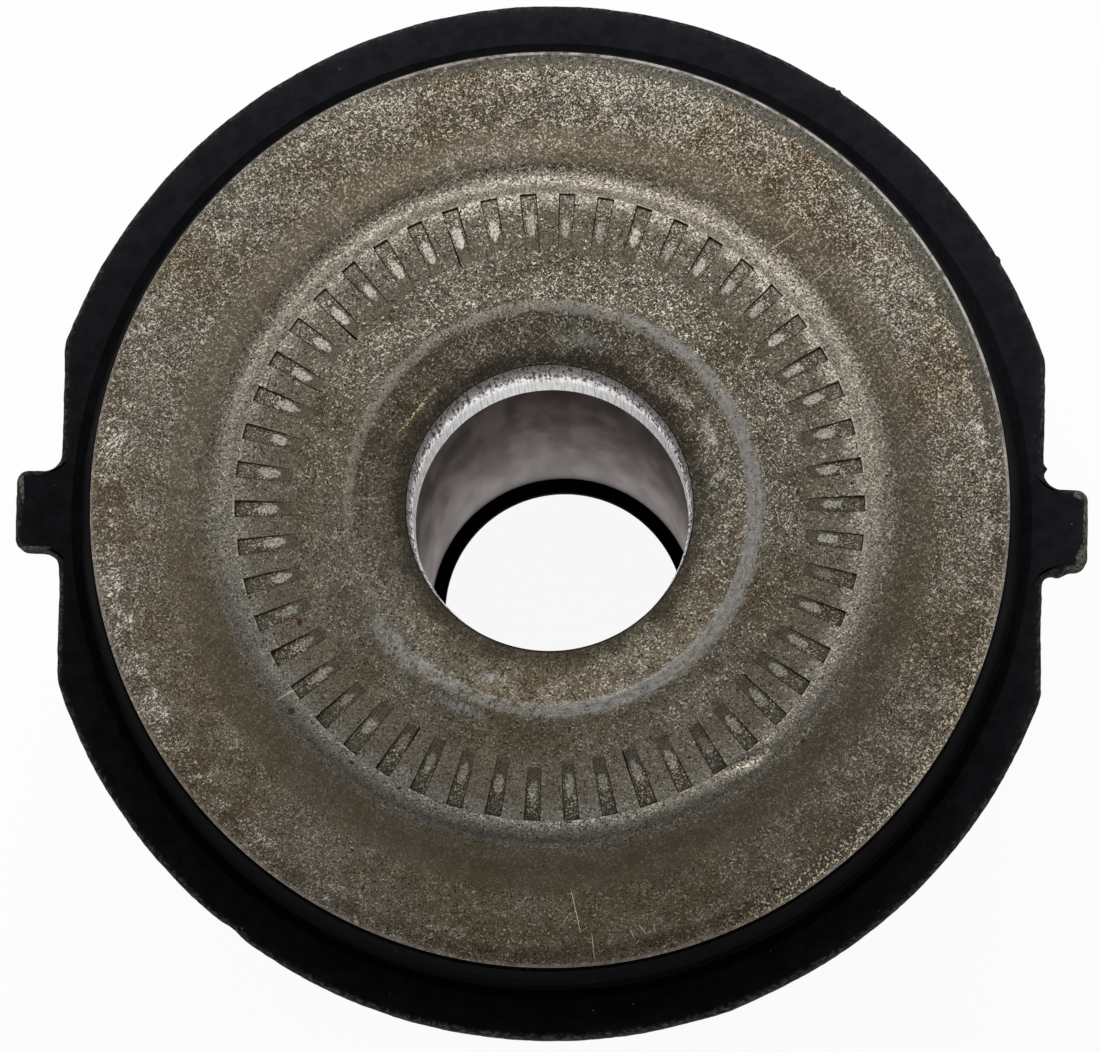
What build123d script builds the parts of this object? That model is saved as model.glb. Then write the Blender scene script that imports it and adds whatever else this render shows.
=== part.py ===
from build123d import *
import os
from math import cos, radians, sin, tan

"""Flanged rubber-metal bush for a suspension arm.

A cold-forged steel inner sleeve has a wide flange at its upper end, with a ring of
serrations that bite into the bracket when the bolt is tightened. Rubber is moulded
and bonded around it: it wraps the flange's rim, forms a stop flange with two flats
and two locating tabs, and fills the space to a steel outer sleeve, which is pressed
into the arm's eye. Millimetres, +Z up, origin on the axis at the lower end.
"""

os.makedirs("parts", exist_ok=True)

# Inner sleeve: forged, with a web at the flange end that is pierced for the bolt
bolt_hole_radius = 7.05
web_depth = 10.2
sheared_length = 6.4
torn_flare = 0.2
bore_step = 0.55
sleeve_wall = 3.4
sleeve_length = 62.0
flange_radius = 23.25
flange_thickness = 5.5
edge_roll_width = 1.0
edge_roll_drop = 0.27
edge_corner_bevel = 0.15
rim_draft = 4.0
flange_root_slope = 2.5
mouth_bevel = 0.25
mouth_roll_in = 0.28
end_chamfer = 0.5

# Serrated land: raised ring on the flange, coined between two contact rings
land_height = 0.45
land_inner_radius = 9.9
land_outer_radius = 17.0
land_slope_width = 0.9
ring_width = 0.95
track_depth = 0.05
mark_count = 50
mark_inner_radius = 13.1
mark_length = 2.8
mark_width = 0.73
mark_depth = 0.28
mark_run_out = 0.03
mark_phase = 1.5

# Rubber body
lip_radius = 6.85
lip_thickness = 1.2
nose_radius = 13.0
nose_height = 2.5
cove_set_back = 1.4
cove_facets = 5
rim_drop = 1.4
rim_skin = 0.2
collar_height = 5.2
collar_flare = 0.65
groove_width = 0.5
groove_depth = 0.5
stop_radius = 26.65
stop_thickness = 3.0
stop_edge_bevel = 0.4
flat_depth = 1.45
flat_corner_round = 2.0
tab_height = 2.3
tab_width = 4.2
tab_root_round = 0.9
tab_tip_round = 0.65

# Outer sleeve
outer_radius = 24.0
outer_wall = 2.0
outer_set_back = 7.0
lead_in_length = 2.0
lead_in_depth = 0.7
edge_break = 0.3

# How close a corner has to lie to be the one that is meant
near = 0.01

# Levels that follow from the sizes above
sleeve_end_z = lip_thickness
face_z = sleeve_end_z + sleeve_length
land_z = face_z + land_height
web_end_z = face_z - web_depth
rim_top_z = face_z - rim_drop
stop_top_z = rim_top_z - collar_height
stop_bottom_z = stop_top_z - stop_thickness
flange_bottom_z = face_z - flange_thickness
mouth_z = face_z - mouth_roll_in
roll_end_z = face_z - edge_roll_drop
rim_z = roll_end_z - edge_corner_bevel
cove_top_z = outer_set_back + cove_set_back

# Radii that follow
bore_radius = bolt_hole_radius + bore_step
sleeve_radius = bore_radius + sleeve_wall
sleeve_core_radius = bore_radius + sleeve_wall / 2
rim_foot_radius = flange_radius - (rim_z - flange_bottom_z) * tan(radians(rim_draft))
roll_start_radius = flange_radius - edge_corner_bevel - edge_roll_width
roll_radius = (edge_roll_width**2 + edge_roll_drop**2) / (2 * edge_roll_drop)
torn_radius = bolt_hole_radius + torn_flare
mouth_radius = torn_radius + mouth_bevel
track_inner_radius = land_inner_radius + ring_width
track_outer_radius = land_outer_radius - ring_width
collar_top_radius = flange_radius + rim_skin
collar_foot_radius = collar_top_radius + collar_flare
outer_bore_radius = outer_radius - outer_wall
flat_half_width = stop_radius - flat_depth
tab_reach = flat_half_width + tab_height
cove_width = outer_bore_radius - nose_radius
cove_rise = cove_top_z - nose_height

# The cove is a quarter of an ellipse, in straight facets
cove_angles = [radians(90 * i / cove_facets) for i in range(cove_facets + 1)]


# Inner sleeve: turned profile of the forging, then the struck serrations
with BuildPart() as inner_sleeve:
    with BuildSketch(Plane.XZ):
        with BuildLine():
            web_shoulder = Line((bore_radius, web_end_z), (bolt_hole_radius, web_end_z))
            pierced_wall = Polyline(
                web_shoulder @ 1,
                (bolt_hole_radius, web_end_z + sheared_length),
                (torn_radius, mouth_z - mouth_bevel),
                (mouth_radius, mouth_z),
            )
            land = Polyline(
                pierced_wall @ 1,
                (land_inner_radius, land_z),
                (track_inner_radius, land_z),
                (track_inner_radius + track_depth, land_z - track_depth),
                (track_outer_radius - track_depth, land_z - track_depth),
                (track_outer_radius, land_z),
                (land_outer_radius, land_z),
                (land_outer_radius + land_slope_width, face_z),
            )
            face = Line(land @ 1, (roll_start_radius, face_z))
            edge_roll = RadiusArc(face @ 1, (roll_start_radius + edge_roll_width, roll_end_z), roll_radius)
            Polyline(
                edge_roll @ 1,
                (flange_radius, rim_z),
                (rim_foot_radius, flange_bottom_z),
                (sleeve_radius + flange_root_slope, flange_bottom_z),
                (sleeve_radius, flange_bottom_z - flange_root_slope),
                (sleeve_radius, sleeve_end_z),
                (bore_radius, sleeve_end_z),
                web_shoulder @ 0,
            )
        make_face()
    revolve(axis=Axis.Z)

    lower_edges = inner_sleeve.edges().filter_by(GeomType.CIRCLE).group_by(Axis.Z)[0]
    chamfer(lower_edges, end_chamfer)

    pitch = 360 / mark_count
    mark_angles = [radians(mark_phase + i * pitch) for i in range(mark_count)]
    mark_planes = [Plane((0, 0, land_z), (cos(a), sin(a), 0), (sin(a), -cos(a), 0)) for a in mark_angles]
    with BuildSketch(*mark_planes):
        with BuildLine():
            Polyline(
                (mark_inner_radius, land_height),
                (mark_inner_radius, -track_depth - mark_run_out),
                (mark_inner_radius + mark_length, -track_depth - mark_depth),
                (mark_inner_radius + mark_length, land_height),
                close=True,
            )
        make_face()
    extrude(amount=mark_width / 2, both=True, mode=Mode.SUBTRACT)

# Outer sleeve: plain steel ring with a lead-in at its lower end
with BuildPart() as outer_sleeve:
    with BuildSketch(Plane.XZ):
        with BuildLine():
            Polyline(
                (outer_bore_radius, outer_set_back),
                (outer_radius - lead_in_depth, outer_set_back),
                (outer_radius, outer_set_back + lead_in_length),
                (outer_radius, stop_bottom_z - edge_break),
                (outer_radius - edge_break, stop_bottom_z),
                (outer_bore_radius, stop_bottom_z),
                close=True,
            )
        make_face()
    revolve(axis=Axis.Z)

# Rubber: stop flange with its flats and tabs, then the body of revolution around it
with BuildPart() as rubber_body:
    with BuildSketch(Plane.XY.offset(stop_bottom_z)) as stop_outline:
        Circle(stop_radius)
        Rectangle(2 * flat_half_width, 4 * stop_radius, mode=Mode.INTERSECT)
        fillet(stop_outline.vertices(), flat_corner_round)
        Rectangle(2 * tab_reach, tab_width)
        corners = stop_outline.vertices()
        tips = corners.filter_by(lambda v: abs(abs(v.X) - tab_reach) < near)
        roots = corners.filter_by(
            lambda v: abs(abs(v.X) - flat_half_width) < near and abs(abs(v.Y) - tab_width / 2) < near,
        )
        fillet(roots, tab_root_round)
        fillet(tips, tab_tip_round)
        Circle(sleeve_core_radius, mode=Mode.SUBTRACT)
    extrude(amount=stop_thickness)
    stop_faces = rubber_body.faces().filter_by(Axis.Z)
    chamfer([edge for face in stop_faces for edge in face.outer_wire().edges()], stop_edge_bevel)

    with BuildSketch(Plane.XZ):
        with BuildLine():
            lip = Polyline(
                (sleeve_core_radius, sleeve_end_z),
                (lip_radius, sleeve_end_z),
                (lip_radius, 0),
                (nose_radius, 0),
                (nose_radius, nose_height),
            )
            cove = Polyline(
                [
                    (outer_bore_radius - cove_width * cos(a), nose_height + cove_rise * sin(a))
                    for a in cove_angles
                ],
            )
            Polyline(
                cove @ 1,
                (outer_bore_radius, stop_bottom_z),
                (collar_foot_radius, stop_bottom_z),
                (collar_foot_radius, stop_top_z),
                (collar_top_radius, rim_top_z),
                (sleeve_core_radius, rim_top_z),
                lip @ 0,
            )
        make_face()
    revolve(axis=Axis.Z)

    with BuildSketch(Plane.XZ):
        with BuildLine():
            Polyline(
                (collar_foot_radius - groove_depth * collar_flare / collar_height, stop_top_z + groove_depth),
                (collar_foot_radius, stop_top_z - groove_depth),
                (collar_foot_radius + groove_width, stop_top_z),
                (collar_foot_radius + groove_width, stop_top_z + groove_depth),
                close=True,
            )
        make_face()
    revolve(axis=Axis.Z, mode=Mode.SUBTRACT)

    add(inner_sleeve.part, mode=Mode.SUBTRACT)
    add(outer_sleeve.part, mode=Mode.SUBTRACT)

inner_sleeve.part.label = "inner_sleeve"
outer_sleeve.part.label = "outer_sleeve"
rubber_body.part.label = "rubber_body"

export_step(inner_sleeve.part, "parts/inner_sleeve.step")
export_step(outer_sleeve.part, "parts/outer_sleeve.step")
export_step(rubber_body.part, "parts/rubber_body.step")
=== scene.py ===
"""Flanged rubber-metal bush for a suspension arm: the dressed model around its frame.

The bush has three pieces. A forged steel inner sleeve carries the flange with its
ring of struck marks, a rubber body wraps the flange's rim and forms the stop flange
with its flats and tabs, and a steel outer sleeve is pressed into the arm's eye.
Sizes are in millimetres and become metres as they are built. The axis is +Z, and the
origin is on the axis at the lower end, as in the frame.
"""

import logging
from dataclasses import dataclass
from enum import Enum
from functools import cached_property, reduce
from itertools import pairwise
from math import atan2, cos, degrees, exp, hypot, pi, radians, sin, sqrt, tan
from random import Random
from typing import Callable, Optional, Sequence, Union

import bmesh
import bpy
from mathutils import Matrix, Vector, noise

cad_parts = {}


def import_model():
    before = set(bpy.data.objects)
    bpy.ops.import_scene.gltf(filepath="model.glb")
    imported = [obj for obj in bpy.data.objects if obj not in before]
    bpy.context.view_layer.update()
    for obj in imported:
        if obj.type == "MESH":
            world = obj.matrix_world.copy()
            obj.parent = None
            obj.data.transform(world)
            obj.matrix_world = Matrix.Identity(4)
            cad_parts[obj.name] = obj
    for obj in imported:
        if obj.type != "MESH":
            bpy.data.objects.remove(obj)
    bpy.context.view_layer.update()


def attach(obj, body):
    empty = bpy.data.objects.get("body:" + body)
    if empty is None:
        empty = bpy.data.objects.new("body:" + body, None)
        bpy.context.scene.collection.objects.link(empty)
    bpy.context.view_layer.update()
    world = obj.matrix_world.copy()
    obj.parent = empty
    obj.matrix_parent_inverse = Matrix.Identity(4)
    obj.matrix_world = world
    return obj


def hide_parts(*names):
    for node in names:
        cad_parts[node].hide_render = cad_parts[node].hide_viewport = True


# A millimetre in metres, and how close vertices are when they merge, in metres
MM = 0.001
MERGE = 1e-6

# How close a vertex lies to the place that is meant, and where parked lines wait, in mm
NEAR = 0.001
ASIDE = 100.0

FULL_TURN = 2 * pi
WHITE = (1.0, 1.0, 1.0, 1.0)
LOG = logging.getLogger("bush")


def tint(red: float, green: float, blue: float) -> tuple[float, float, float, float]:
    """A colour for a shader socket.

    Args:
        red, green, blue: display values from 0 to 255.

    Returns:
        The same colour in linear light, with full alpha.
    """

    def linear(value: float) -> float:
        """One channel in linear light."""
        share = value / 255
        return share / 12.92 if share <= 0.04045 else ((share + 0.055) / 1.055) ** 2.4

    return (linear(red), linear(green), linear(blue), 1.0)


# --------------------------------------------------------------------------- modelling


@dataclass(frozen=True)
class Station:
    """A corner of a turned profile: radius, height and the rounding there, in mm."""

    radius: float
    height: float
    ease: float = 0.0


def arc(
    centre: tuple[float, float],
    reach: tuple[float, float],
    start: float,
    end: float,
    count: int,
) -> list[Station]:
    """Stations along part of an ellipse.

    Args:
        centre: radius and height of its centre.
        reach: its half widths along the radius and the height.
        start: first angle in degrees, from the radius towards the height.
        end: last angle in degrees.
        count: how many spans it has.

    Returns:
        The stations, both ends included.
    """
    angles = [radians(start + (end - start) * i / count) for i in range(count + 1)]
    return [Station(centre[0] + reach[0] * cos(a), centre[1] + reach[1] * sin(a)) for a in angles]


class Bench:
    """Edits that the pieces share, each made with the modelling operators."""

    @staticmethod
    def clear() -> None:
        """Leave object mode with nothing selected."""
        if bpy.context.object and bpy.context.object.mode != "OBJECT":
            bpy.ops.object.mode_set(mode="OBJECT")
        bpy.ops.object.select_all(action="DESELECT")

    @staticmethod
    def edit(piece: bpy.types.Object) -> None:
        """Open a piece for vertex edits, with nothing selected in it.

        Args:
            piece: the mesh object to edit.
        """
        Bench.clear()
        bpy.context.view_layer.objects.active = piece
        piece.select_set(True)
        bpy.ops.object.mode_set(mode="EDIT")
        bpy.ops.mesh.select_mode(type="VERT")
        bpy.ops.mesh.select_all(action="DESELECT")

    @staticmethod
    def pick(piece: bpy.types.Object, test: Callable[[Vector], bool]) -> int:
        """Select the vertices that pass a test, and no others, in edit mode.

        Args:
            piece: the mesh object that is open.
            test: takes a place in mm and says whether its vertex is wanted.

        Returns:
            How many vertices are selected.
        """
        shape = bmesh.from_edit_mesh(piece.data)
        found = 0
        for vertex in shape.verts:
            vertex.select = test(vertex.co / MM)
            found += vertex.select
        shape.select_flush_mode()
        bmesh.update_edit_mesh(piece.data)
        return found

    @staticmethod
    def shift(x: float = 0.0, y: float = 0.0, z: float = 0.0) -> None:
        """Move what is selected by a step in mm."""
        bpy.ops.transform.translate(value=(x * MM, y * MM, z * MM))

    @staticmethod
    def weld() -> None:
        """Select all of the open piece and merge the vertices that coincide."""
        bpy.ops.mesh.select_all(action="SELECT")
        bpy.ops.mesh.remove_doubles(threshold=MERGE)

    @staticmethod
    def paint(piece: bpy.types.Object, *finishes: bpy.types.Material) -> None:
        """Give a piece its finishes.

        Args:
            piece: the mesh object.
            finishes: its materials, in the order of its slots.
        """
        piece.data.materials.clear()
        for finish in finishes:
            piece.data.materials.append(finish)

    @staticmethod
    def draw_profile(name: str, stations: list[Station]) -> bpy.types.Object:
        """Draw a profile in the XZ plane as a chain of edges and round its corners.

        Args:
            name: the piece's name.
            stations: its corners in order.

        Returns:
            The piece, open in edit mode.
        """
        Bench.clear()
        first = stations[0]
        bpy.ops.mesh.primitive_plane_add(size=MM, location=(first.radius * MM, 0, first.height * MM))
        piece = bpy.context.object
        piece.name = piece.data.name = name
        bpy.ops.object.transform_apply(location=True, rotation=False, scale=False)
        bpy.ops.object.mode_set(mode="EDIT")
        bpy.ops.mesh.select_mode(type="VERT")
        bpy.ops.mesh.select_all(action="SELECT")
        bpy.ops.mesh.merge(type="CENTER")
        for here, there in pairwise(stations):
            step = ((there.radius - here.radius) * MM, 0, (there.height - here.height) * MM)
            bpy.ops.mesh.extrude_region_move(TRANSFORM_OT_translate={"value": step})
        for corner in stations:
            if corner.ease:
                spot = Vector((corner.radius, 0, corner.height))
                Bench.pick(piece, lambda place, spot=spot: (place - spot).length < NEAR)
                bpy.ops.mesh.bevel(offset=corner.ease * MM, segments=3, affect="VERTICES")
        return piece

    @staticmethod
    def turn(piece: bpy.types.Object, steps: int) -> None:
        """Turn the open profile once round the axis and close the seam.

        Args:
            piece: the drawn profile.
            steps: how many columns the turned shape has.
        """
        bpy.ops.object.mode_set(mode="OBJECT")
        lathe = piece.modifiers.new("lathe", "SCREW")
        lathe.axis = "Z"
        lathe.angle = FULL_TURN
        lathe.screw_offset = 0.0
        lathe.steps = lathe.render_steps = steps
        lathe.use_merge_vertices = True
        lathe.merge_threshold = MERGE
        bpy.ops.object.modifier_apply(modifier="lathe")
        Bench.edit(piece)
        Bench.weld()

    @staticmethod
    def close(piece: bpy.types.Object, crease: float) -> None:
        """Merge seams, point the faces outwards and shade them, then leave edit mode.

        Args:
            piece: the mesh object to finish.
            crease: angle in degrees above which an edge stays sharp.
        """
        Bench.edit(piece)
        Bench.weld()
        bpy.ops.mesh.normals_make_consistent(inside=False)
        bpy.ops.object.mode_set(mode="OBJECT")
        bpy.ops.object.shade_smooth_by_angle(angle=radians(crease))
        Bench.clear()


# ----------------------------------------------------------------------------- shading


class Value:
    """A node's output that takes part in shader arithmetic."""

    def __init__(self, graph: "Graph", socket: bpy.types.NodeSocket) -> None:
        """Wrap an output socket of a graph."""
        self.graph = graph
        self.socket = socket

    def math(self, operation: str, *others: "Number", first: Optional["Number"] = None) -> "Value":
        """A Math node on this value.

        Args:
            operation: the node's operation.
            others: the inputs that follow.
            first: what takes the first input in place of this value.

        Returns:
            The result.
        """
        terms = (self if first is None else first, *others)
        return self.graph.node("ShaderNodeMath", {"operation": operation}, dict(enumerate(terms)))

    def __add__(self, other: "Number") -> "Value":
        """Sum."""
        return self.math("ADD", other)

    __radd__ = __add__

    def __sub__(self, other: "Number") -> "Value":
        """Difference."""
        return self.math("SUBTRACT", other)

    def __rsub__(self, other: "Number") -> "Value":
        """Difference from a number."""
        return self.math("SUBTRACT", self, first=other)

    def __mul__(self, other: "Number") -> "Value":
        """Product."""
        return self.math("MULTIPLY", other)

    __rmul__ = __mul__

    def __truediv__(self, other: "Number") -> "Value":
        """Quotient."""
        return self.math("DIVIDE", other)

    def __pow__(self, other: "Number") -> "Value":
        """Power."""
        return self.math("POWER", other)

    def __abs__(self) -> "Value":
        """Size without sign."""
        return self.math("ABSOLUTE")

    def least(self, other: "Number") -> "Value":
        """The smaller of two."""
        return self.math("MINIMUM", other)

    def most(self, other: "Number") -> "Value":
        """The larger of two."""
        return self.math("MAXIMUM", other)

    def ramp(self, low: float, high: float) -> "Value":
        """Rise smoothly from 0 to 1, or fall from 1 to 0 where low is above high.

        Args:
            low: where the result is 0.
            high: where the result is 1.

        Returns:
            The result.
        """
        inputs = {"Value": self, "From Min": min(low, high), "From Max": max(low, high)}
        inputs["To Min"], inputs["To Max"] = (0.0, 1.0) if low < high else (1.0, 0.0)
        return self.graph.node("ShaderNodeMapRange", {"interpolation_type": "SMOOTHSTEP"}, inputs)

    def band(self, low: float, high: float, soft: float) -> "Value":
        """1 between low and high, fading to 0 over soft on each side."""
        return self.ramp(low - soft / 2, low + soft / 2) * self.ramp(high + soft / 2, high - soft / 2)

    def toward(self, bearing: float) -> "Value":
        """For an angle in degrees: 1 at a bearing, falling to -1 opposite."""
        return ((self - bearing) * radians(1)).math("COSINE")

    def lean(self, bearing: float) -> "Value":
        """For an angle in degrees: 1 at a bearing, falling to 0 opposite."""
        return self.toward(bearing) * 0.5 + 0.5

    def lobe(self, bearing: float) -> "Value":
        """For an angle in degrees: 1 at a bearing, and 0 on the half that is turned away."""
        return self.toward(bearing).most(0.0)


Number = Union[float, Value]
Colour = Union[tuple[float, float, float, float], Value]


class Graph:
    """The node tree of one material, and its only maker of nodes."""

    def __init__(self, name: str, owner: Optional[bpy.types.World] = None) -> None:
        """Start an empty tree.

        Args:
            name: the new material's name.
            owner: a world that the tree is for in place of a material.
        """
        self.material = owner or bpy.data.materials.new(name)
        self.material.use_nodes = True
        self.tree = self.material.node_tree
        self.tree.nodes.clear()

    def node(
        self,
        kind: str,
        settings: Optional[dict] = None,
        inputs: Optional[dict] = None,
        output: Union[int, str] = 0,
    ) -> Value:
        """Make a node.

        Args:
            kind: its type.
            settings: its properties, set first.
            inputs: values or links by socket name or number.
            output: the socket that is wanted from it.

        Returns:
            That output, ready for arithmetic.
        """
        made = self.tree.nodes.new(kind)
        for key, value in (settings or {}).items():
            setattr(made, key, value)
        for key, value in (inputs or {}).items():
            if isinstance(value, Value):
                self.tree.links.new(value.socket, made.inputs[key])
            else:
                made.inputs[key].default_value = value
        return Value(self, made.outputs[output] if len(made.outputs) else None)

    def place(self) -> Value:
        """The surface's place in mm."""
        return self.scaled(self.node("ShaderNodeTexCoord", output="Object"), 1 / MM)

    def scaled(self, vector: Value, factor: Number) -> Value:
        """A vector or a colour times a number."""
        return self.node("ShaderNodeVectorMath", {"operation": "SCALE"}, {0: vector, "Scale": factor})

    def parts(self, vector: Value) -> tuple[Value, Value, Value]:
        """The three numbers of a vector."""
        split = self.node("ShaderNodeSeparateXYZ", inputs={0: vector})
        return tuple(Value(self, output) for output in split.socket.node.outputs)

    def joined(self, x: Number, y: Number, z: Number) -> Value:
        """A vector of three numbers."""
        return self.node("ShaderNodeCombineXYZ", inputs={0: x, 1: y, 2: z})

    def noise(
        self,
        vector: Value,
        scale: float,
        detail: float,
        roughness: float,
        distortion: float = 0.0,
    ) -> Value:
        """Noise from 0 to 1 around 0.5.

        Args:
            vector: where it is read, in mm.
            scale: how many features there are in a mm.
            detail: how many finer layers are added.
            roughness: how strong those layers are.
            distortion: how far the pattern is stirred.

        Returns:
            The noise.
        """
        inputs = {"Vector": vector, "Scale": scale, "Detail": detail}
        inputs |= {"Roughness": roughness, "Distortion": distortion}
        return self.node("ShaderNodeTexNoise", inputs=inputs, output="Fac")

    def stretched(self, vector: Value, turn: float, across: float, along: float) -> Value:
        """A place for drawn-out patterns.

        Args:
            vector: the place in mm.
            turn: angle in degrees of the direction that is drawn out.
            across: factor on the place across that direction.
            along: factor on the place along it.

        Returns:
            The place in the turned and scaled pattern.
        """
        inputs = {"Vector": vector, "Rotation": (0, 0, radians(-turn)), "Scale": (1, 1, 1)}
        turned = self.node("ShaderNodeMapping", {"vector_type": "POINT"}, inputs)
        return self.product(turned, (along, across, 1.0))

    def product(self, vector: Value, factors: tuple[float, float, float]) -> Value:
        """A vector with each of its numbers times a factor of its own."""
        return self.node("ShaderNodeVectorMath", {"operation": "MULTIPLY"}, {0: vector, 1: factors})

    def spots(self, vector: Value, scale: float, radius: float, keep: float) -> Value:
        """Round dots scattered over the surface.

        Args:
            vector: the place in mm.
            scale: how many cells there are in a mm.
            radius: a dot's radius, in cells.
            keep: the share of the cells that have a dot.

        Returns:
            1 in a dot and 0 outside.
        """
        inputs = {"Vector": vector, "Scale": scale}
        cells = self.node("ShaderNodeTexVoronoi", {"feature": "F1"}, inputs, "Distance")
        red, _, _ = self.parts(Value(self, cells.socket.node.outputs["Color"]))
        return cells.ramp(radius, radius * 0.55) * red.ramp(1 - keep, 1 - keep + 0.02)

    def spread(self, vector: Value, scar: "Scar") -> Value:
        """How far a place is from the middle of a blemish.

        Args:
            vector: the place in mm.
            scar: the blemish.

        Returns:
            The share of the way to its edge, at any height.
        """
        inputs = {"Vector": vector, "Location": (scar.x, scar.y, 0.0)}
        inputs |= {"Rotation": (0, 0, radians(scar.turn)), "Scale": (scar.half_x, scar.half_y, 1000.0)}
        local = self.node("ShaderNodeMapping", {"vector_type": "TEXTURE"}, inputs)
        return self.node("ShaderNodeVectorMath", {"operation": "LENGTH"}, {0: local}, "Value")

    def nearest(self, vector: Value, scars: Sequence["Scar"]) -> Value:
        """How far a place is from the nearest of some blemishes, where 1 is on its edge."""
        return reduce(Value.least, [self.spread(vector, scar) for scar in scars])

    def blend(self, factor: Number, under: Colour, over: Colour) -> Value:
        """Lay one colour over another.

        Args:
            factor: how much of the upper colour shows.
            under: the colour below.
            over: the colour on top.

        Returns:
            The mixed colour.
        """
        inputs = {0: factor, 6: under, 7: over}
        return self.node("ShaderNodeMix", {"data_type": "RGBA", "clamp_factor": True}, inputs, 2)

    def attribute(self, name: str) -> Value:
        """A vector that the mesh carries."""
        settings = {"attribute_type": "GEOMETRY", "attribute_name": name}
        return self.node("ShaderNodeAttribute", settings, output="Vector")

    def bump(self, height: Value, distance: float, strength: float) -> Value:
        """A normal from a height.

        Args:
            height: the height from 0 to 1.
            distance: what a height of 1 stands for, in mm.
            strength: how much of it is used.

        Returns:
            The normal.
        """
        inputs = {"Height": height, "Distance": distance * MM, "Strength": strength}
        return self.node("ShaderNodeBump", inputs=inputs)

    def surface(self, inputs: dict) -> bpy.types.Material:
        """End the material in one Principled surface.

        Args:
            inputs: values or links by socket name.

        Returns:
            The material.
        """
        shader = self.node("ShaderNodeBsdfPrincipled", inputs=inputs)
        self.node("ShaderNodeOutputMaterial", inputs={"Surface": shader})
        return self.material


@dataclass(frozen=True)
class Scar:
    """A blemish seen from above: its middle and half sizes in mm, and its turn in degrees."""

    x: float
    y: float
    half_x: float
    half_y: float
    turn: float = 0.0

    def reach(self, x: float, y: float) -> float:
        """How far a place is from the middle, where 1 is on the edge.

        Args:
            x, y: the place in mm.

        Returns:
            The share of the way to the edge.
        """
        turn = radians(self.turn)
        east, north = x - self.x, y - self.y
        ahead = (east * cos(turn) + north * sin(turn)) / self.half_x
        aside = (north * cos(turn) - east * sin(turn)) / self.half_y
        return hypot(ahead, aside)


def dot(bearing: float, reach: float, size: float) -> Scar:
    """A small blemish on the flange.

    Args:
        bearing: its angle round the axis in degrees.
        reach: its radius from the axis in mm.
        size: its half length in mm.

    Returns:
        The blemish, a little longer than wide.
    """
    turn = radians(bearing)
    return Scar(reach * cos(turn), reach * sin(turn), size, size * 0.7, bearing * 3)


class Skin:
    """The surface that a finish is painted on: where its points are, and its look so far."""

    def __init__(self, name: str) -> None:
        """Start a material with nothing painted on it.

        Args:
            name: the material's name.
        """
        self.graph = Graph(name)
        self.place = self.graph.place()
        self.x, self.y, self.z = self.graph.parts(self.place)
        self.colour: Colour = WHITE
        self.rough: Number = 0.5
        self.height: Number = 0.0

    @cached_property
    def radius(self) -> Value:
        """Distance from the axis in mm."""
        return (self.x * self.x + self.y * self.y) ** 0.5

    @cached_property
    def angle(self) -> Value:
        """Angle round the axis in degrees."""
        return self.y.math("ARCTAN2", self.x) * degrees(1)

    def lay(self, factor: Number, over: Colour) -> None:
        """Lay a colour over what is there, by a factor."""
        self.colour = self.graph.blend(factor, self.colour, over)

    def dim(self, strength: Number) -> None:
        """Multiply the colour by a number."""
        self.colour = self.graph.scaled(self.colour, strength)

    def finish(self, relief: float, strength: float, plain: dict[str, float]) -> bpy.types.Material:
        """End the material.

        Args:
            relief: what a height of 1 stands for, in mm.
            strength: how much of the height is used.
            plain: the numbers that are the same all over, by socket name.

        Returns:
            The material.
        """
        normal = self.graph.bump(self.height, relief, strength)
        look = {"Base Color": self.colour, "Roughness": self.rough, "Normal": normal}
        return self.graph.surface(look | plain)


class Slot(Enum):
    """The inner sleeve's finishes, by the number of their slot."""

    FORGED = 0
    BORE = 1
    HOLE = 2


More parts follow.
